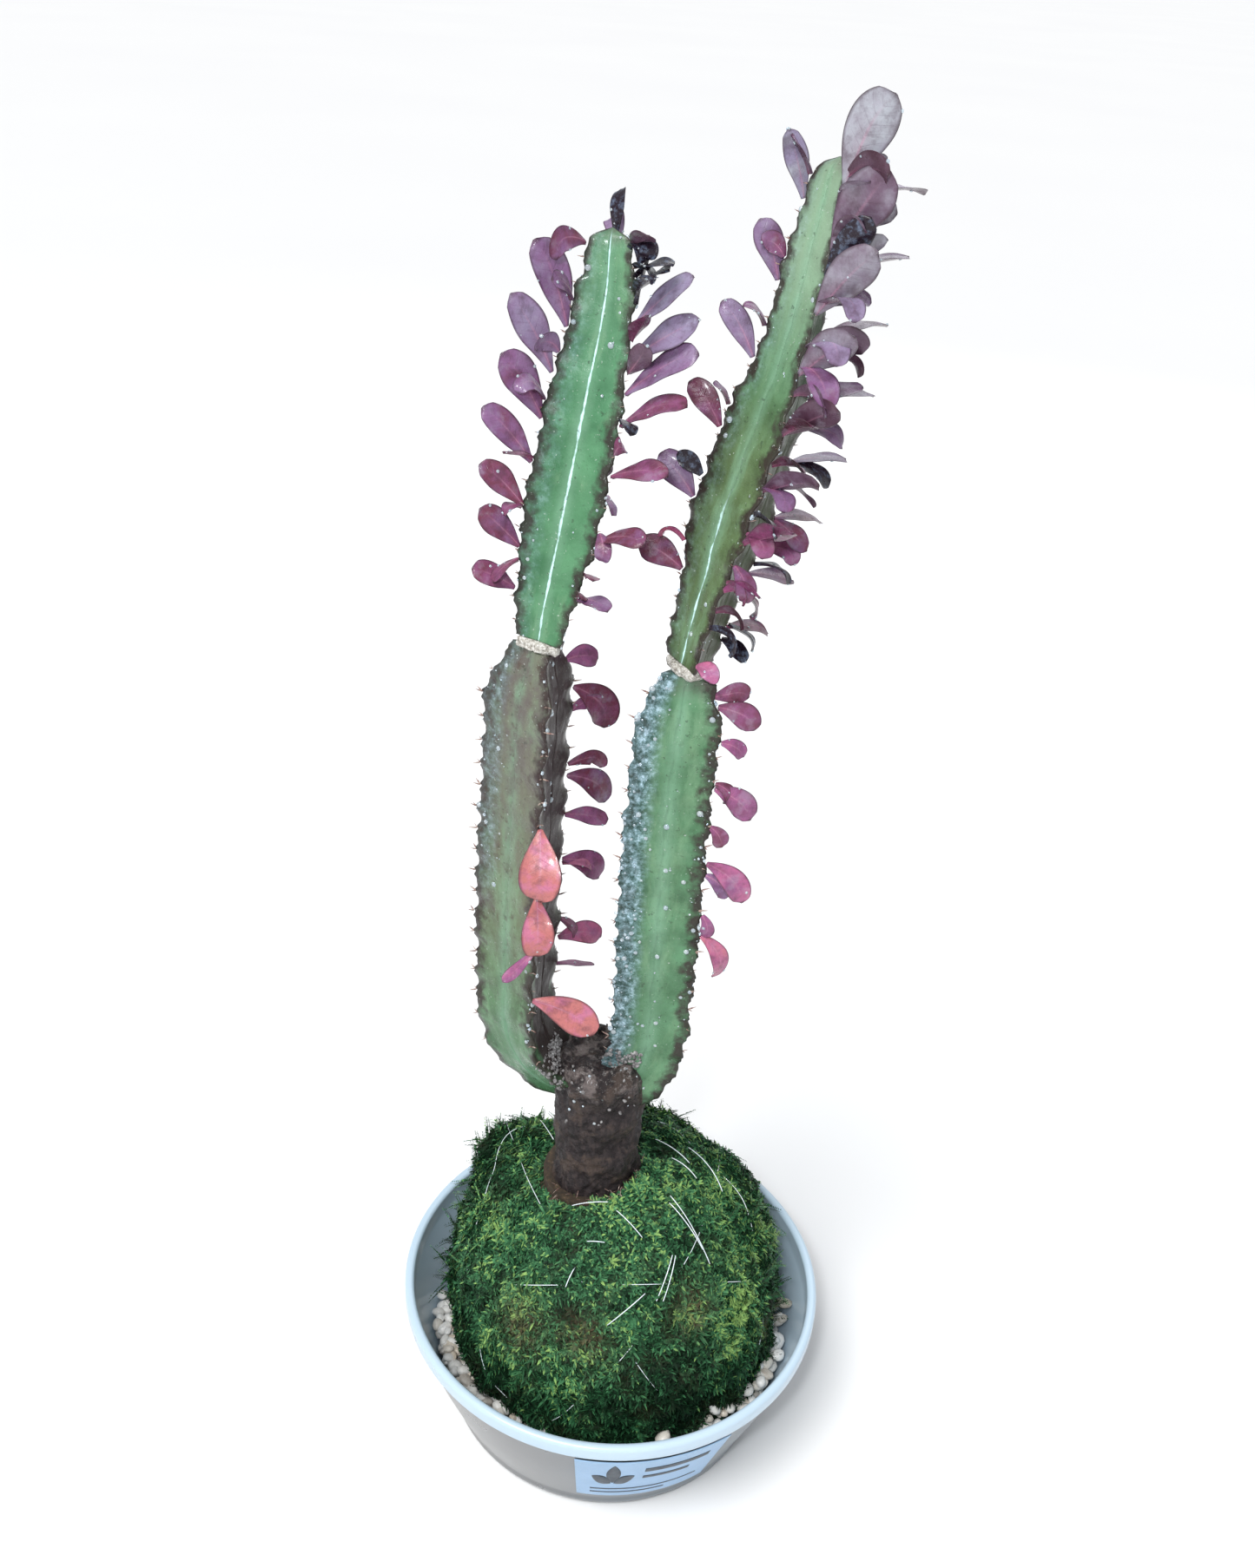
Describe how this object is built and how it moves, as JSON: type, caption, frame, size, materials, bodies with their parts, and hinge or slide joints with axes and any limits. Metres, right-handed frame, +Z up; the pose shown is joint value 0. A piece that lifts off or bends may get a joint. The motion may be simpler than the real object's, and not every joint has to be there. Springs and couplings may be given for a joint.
{
  "type": "kokedama plant in a bowl",
  "caption": "Kokedama: a red three-ribbed euphorbia with small leaves in a line-bound moss ball, on pebbles in a pale bowl.",
  "frame": {"origin": "middle of the bowl's flat underside", "axes": "+Z up, -Y the front with the label, +X to the right seen from the front"},
  "size_m": [0.14, 0.14, 0.4232],
  "materials": {
    "bowl_plastic": "pale blue-grey, satin gloss",
    "label_paper": "off-white, matt",
    "pebbles": "washed gravel, white, cream and tan",
    "soil": "damp potting soil",
    "moss": "matted sheet moss, damp",
    "nylon": "clear, glossy",
    "bark": "wet, gritty bark",
    "old_stem": "waxy green with brown-purple edges, wet",
    "young_stem": "waxy green",
    "cork": "pale, crusty",
    "young_leaf": "slate-violet, waxy",
    "old_leaf": "pink to coral, glossy"
  },
  "bodies": {
    "root": {"bowl": "bowl_plastic", "label": "label_paper", "leaf_left_lower_back_1": "old_leaf", "leaf_left_lower_back_2": "old_leaf", "leaf_left_lower_back_3": "old_leaf", "leaf_left_lower_back_4": "old_leaf", "leaf_left_lower_front_1": "old_leaf", "leaf_left_lower_front_2": "old_leaf", "leaf_left_lower_front_3": "old_leaf", "leaf_left_upper_front_1": "young_leaf", "leaf_left_upper_front_2": "young_leaf", "leaf_left_upper_front_3": "young_leaf", "leaf_left_upper_front_4": "young_leaf", "leaf_left_upper_front_5": "young_leaf", "leaf_left_upper_front_6": "young_leaf", "leaf_left_upper_front_7": "young_leaf", "leaf_left_upper_left_1": "young_leaf", "leaf_left_upper_left_2": "young_leaf", "leaf_left_upper_left_3": "young_leaf", "leaf_left_upper_left_4": "young_leaf", "leaf_left_upper_left_5": "young_leaf", "leaf_left_upper_left_6": "young_leaf", "leaf_left_upper_left_7": "young_leaf", "leaf_right_lower_front_1": "old_leaf", "leaf_right_lower_front_2": "old_leaf", "leaf_right_lower_front_3": "old_leaf", "leaf_right_lower_front_4": "old_leaf", "leaf_right_upper_back_1": "young_leaf", "leaf_right_upper_back_2": "young_leaf", "leaf_right_upper_back_3": "young_leaf", "leaf_right_upper_back_4": "young_leaf", "leaf_right_upper_back_5": "young_leaf", "leaf_right_upper_back_6": "young_leaf", "leaf_right_upper_back_7": "young_leaf", "leaf_right_upper_back_8": "young_leaf", "leaf_right_upper_front_1": "young_leaf", "leaf_right_upper_front_2": "young_leaf", "leaf_right_upper_front_3": "young_leaf", "leaf_right_upper_front_4": "young_leaf", "leaf_right_upper_front_5": "young_leaf", "leaf_right_upper_front_6": "young_leaf", "leaf_right_upper_front_7": "young_leaf", "leaf_right_upper_front_8": "young_leaf", "leaf_right_upper_left_1": "young_leaf", "leaf_right_upper_left_2": "young_leaf", "leaf_right_upper_left_3": "young_leaf", "leaf_right_upper_left_4": "young_leaf", "leaf_right_upper_left_5": "young_leaf", "leaf_right_upper_left_6": "young_leaf", "left_joint_cork": "cork", "left_lower_stem": "old_stem", "left_upper_stem": "young_stem", "moss_wrap": "moss", "nylon_line": "nylon", "pebble_bed": "pebbles", "right_joint_cork": "cork", "right_lower_stem": "old_stem", "right_upper_stem": "young_stem", "soil_ball": "soil", "trunk": "bark"}
  },
  "joints": []
}
